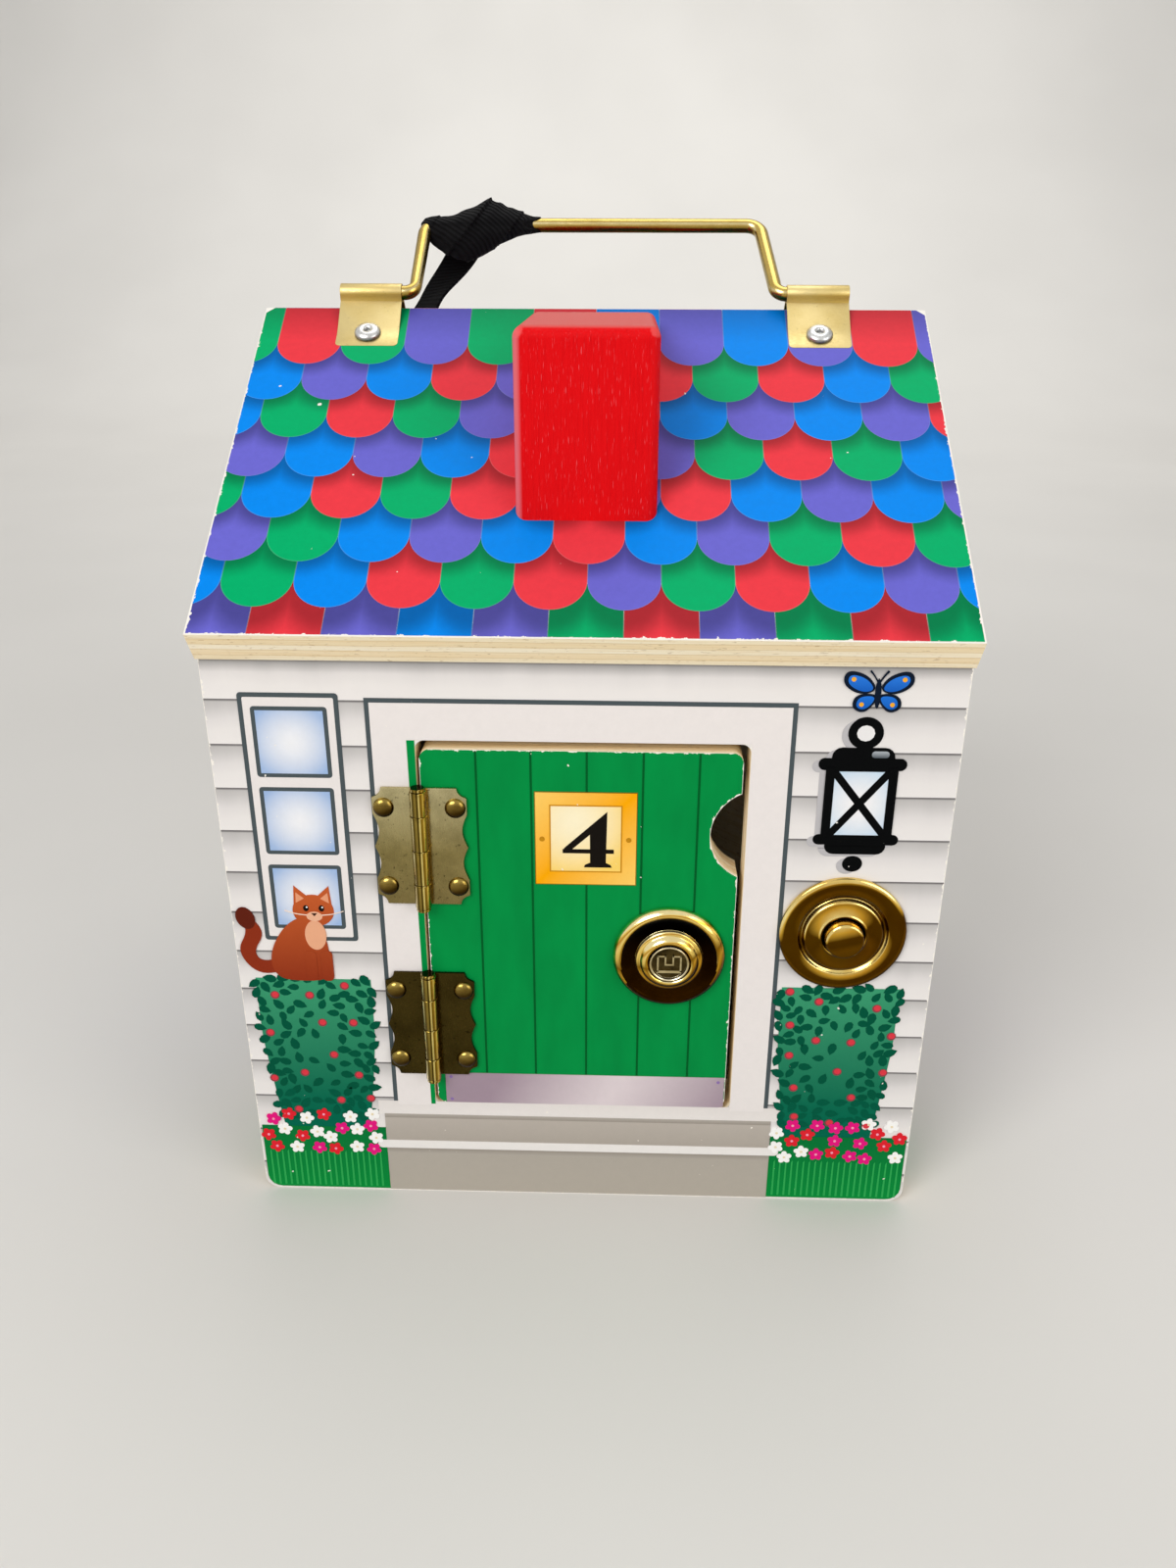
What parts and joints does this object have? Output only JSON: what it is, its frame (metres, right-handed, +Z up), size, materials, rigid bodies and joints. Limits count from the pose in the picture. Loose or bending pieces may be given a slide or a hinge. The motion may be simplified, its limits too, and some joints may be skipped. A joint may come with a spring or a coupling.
{
  "type": "toy house with keys",
  "caption": "Wooden play house with a printed gable facade, a hinged locking door and doorbell on every side, a chimney, and a brass carry handle that holds a key ring on a strap.",
  "frame": {"origin": "middle of the house's footprint on the surface it stands on", "axes": "+Z up; -Y towards the front with the green door; +X to the right seen from the front"},
  "size_m": [0.2004, 0.202, 0.2723],
  "materials": {
    "printed_wall": "satin",
    "printed_roof": "satin",
    "bare_ply": "satin",
    "red_wood": "satin",
    "green_door": "satin",
    "purple_door": "satin",
    "red_door": "satin",
    "blue_door": "satin",
    "hinge_brass": "polished",
    "lock_brass": "polished",
    "plug_steel": "brushed",
    "cam_steel": "plated",
    "bell_brass": "satin",
    "handle_brass": "polished",
    "bracket_brass": "polished",
    "rivet_nickel": "polished",
    "black_webbing": "woven",
    "ring_steel": "polished",
    "key_green": "enamel bow",
    "key_purple": "enamel bow",
    "key_red": "enamel bow",
    "key_blue": "enamel bow",
    "black_plastic": "textured",
    "battery_skin": "gloss",
    "circuit_green": "satin",
    "speaker_steel": "matte",
    "wire_skin": "satin"
  },
  "bodies": {
    "house": {"base_board": "bare_ply", "floor_board": "bare_ply", "ceiling_board": "bare_ply", "wall_front": "printed_wall", "wall_back": "printed_wall", "wall_left": "printed_wall", "wall_right": "printed_wall", "partition_a": "bare_ply", "partition_b": "bare_ply", "roof_front": "printed_roof", "roof_back": "printed_roof", "chimney": "red_wood", "bracket_left": "bracket_brass", "bracket_right": "bracket_brass", "bracket_rivets": "rivet_nickel", "hinge_wall_leaves": "hinge_brass", "hinge_wall_rivets": "hinge_brass", "hinge_pins": "hinge_brass", "bell_plates": "bell_brass", "bell_switches": "black_plastic", "bell_wires": "wire_skin", "battery_box": "black_plastic", "battery_cover": "black_plastic", "cover_screw": "rivet_nickel", "batteries": "battery_skin", "sound_board": "circuit_green", "speaker": "speaker_steel", "strap_tail": "black_webbing"},
    "front_door": {"front_door": "green_door", "front_hinge_leaves": "hinge_brass", "front_lock_case": "lock_brass"},
    "front_lock": {"front_lock_plug": "plug_steel", "front_lock_cam": "cam_steel"},
    "front_bell": {"front_bell_button": "bell_brass"},
    "right_door": {"right_door": "purple_door", "right_hinge_leaves": "hinge_brass", "right_lock_case": "lock_brass"},
    "right_lock": {"right_lock_plug": "plug_steel", "right_lock_cam": "cam_steel"},
    "right_bell": {"right_bell_button": "bell_brass"},
    "back_door": {"back_door": "red_door", "back_hinge_leaves": "hinge_brass", "back_lock_case": "lock_brass"},
    "back_lock": {"back_lock_plug": "plug_steel", "back_lock_cam": "cam_steel"},
    "back_bell": {"back_bell_button": "bell_brass"},
    "left_door": {"left_door": "blue_door", "left_hinge_leaves": "hinge_brass", "left_lock_case": "lock_brass"},
    "left_lock": {"left_lock_plug": "plug_steel", "left_lock_cam": "cam_steel"},
    "left_bell": {"left_bell_button": "bell_brass"},
    "handle": {"handle": "handle_brass", "strap_winding": "black_webbing"},
    "key_ring": {"key_ring": "ring_steel"},
    "keys": {"key_1": "key_green", "key_2": "key_purple", "key_3": "key_red", "key_4": "key_blue"}
  },
  "joints": [
    {"name": "front_door_hinge", "type": "hinge", "parent": "house", "child": "front_door", "pos_m": [-0.04205, -0.0976, 0.0883], "axis": [0, 0, 1], "range_deg": [-170, 0]},
    {"name": "front_lock_turn", "type": "hinge", "parent": "front_door", "child": "front_lock", "pos_m": [0.0235, -0.095, 0.084], "axis": [0, -1, 0], "range_deg": [0, 90]},
    {"name": "front_bell_push", "type": "slide", "parent": "house", "child": "front_bell", "axis": [0, 1, 0], "range_m": [0, 0.002], "stiffness_N_per_m": 400, "springref_m": -0.001},
    {"name": "right_door_hinge", "type": "hinge", "parent": "house", "child": "right_door", "pos_m": [0.0976, -0.04205, 0.0883], "axis": [0, 0, 1], "range_deg": [-170, 0]},
    {"name": "right_lock_turn", "type": "hinge", "parent": "right_door", "child": "right_lock", "pos_m": [0.095, 0.0235, 0.084], "axis": [1, 0, 0], "range_deg": [0, 90]},
    {"name": "right_bell_push", "type": "slide", "parent": "house", "child": "right_bell", "axis": [-1, 0, 0], "range_m": [0, 0.002], "stiffness_N_per_m": 400, "springref_m": -0.001},
    {"name": "back_door_hinge", "type": "hinge", "parent": "house", "child": "back_door", "pos_m": [0.04205, 0.0976, 0.0883], "axis": [0, 0, 1], "range_deg": [-170, 0]},
    {"name": "back_lock_turn", "type": "hinge", "parent": "back_door", "child": "back_lock", "pos_m": [-0.0235, 0.095, 0.084], "axis": [0, 1, 0], "range_deg": [0, 90]},
    {"name": "back_bell_push", "type": "slide", "parent": "house", "child": "back_bell", "axis": [0, -1, 0], "range_m": [0, 0.002], "stiffness_N_per_m": 400, "springref_m": -0.001},
    {"name": "left_door_hinge", "type": "hinge", "parent": "house", "child": "left_door", "pos_m": [-0.0976, 0.04205, 0.0883], "axis": [0, 0, 1], "range_deg": [-170, 0]},
    {"name": "left_lock_turn", "type": "hinge", "parent": "left_door", "child": "left_lock", "pos_m": [-0.095, -0.0235, 0.084], "axis": [-1, 0, 0], "range_deg": [0, 90]},
    {"name": "left_bell_push", "type": "slide", "parent": "house", "child": "left_bell", "axis": [1, 0, 0], "range_m": [0, 0.002], "stiffness_N_per_m": 400, "springref_m": -0.001},
    {"name": "handle_swing", "type": "hinge", "parent": "house", "child": "handle", "pos_m": [0, 0, 0.24724], "axis": [-1, 0, 0], "range_deg": [-145, 60], "deforming": ["strap_tail"]},
    {"name": "ring_swing", "type": "hinge", "parent": "house", "child": "key_ring", "pos_m": [-0.058, 0.04634, 0.22143], "axis": [0, 0.5592, 0.829], "range_deg": [-15, 15]},
    {"name": "keys_swing", "type": "hinge", "parent": "key_ring", "child": "keys", "pos_m": [-0.058, 0.05587, 0.215], "axis": [0, 0.5592, 0.829], "range_deg": [-12, 12]}
  ]
}
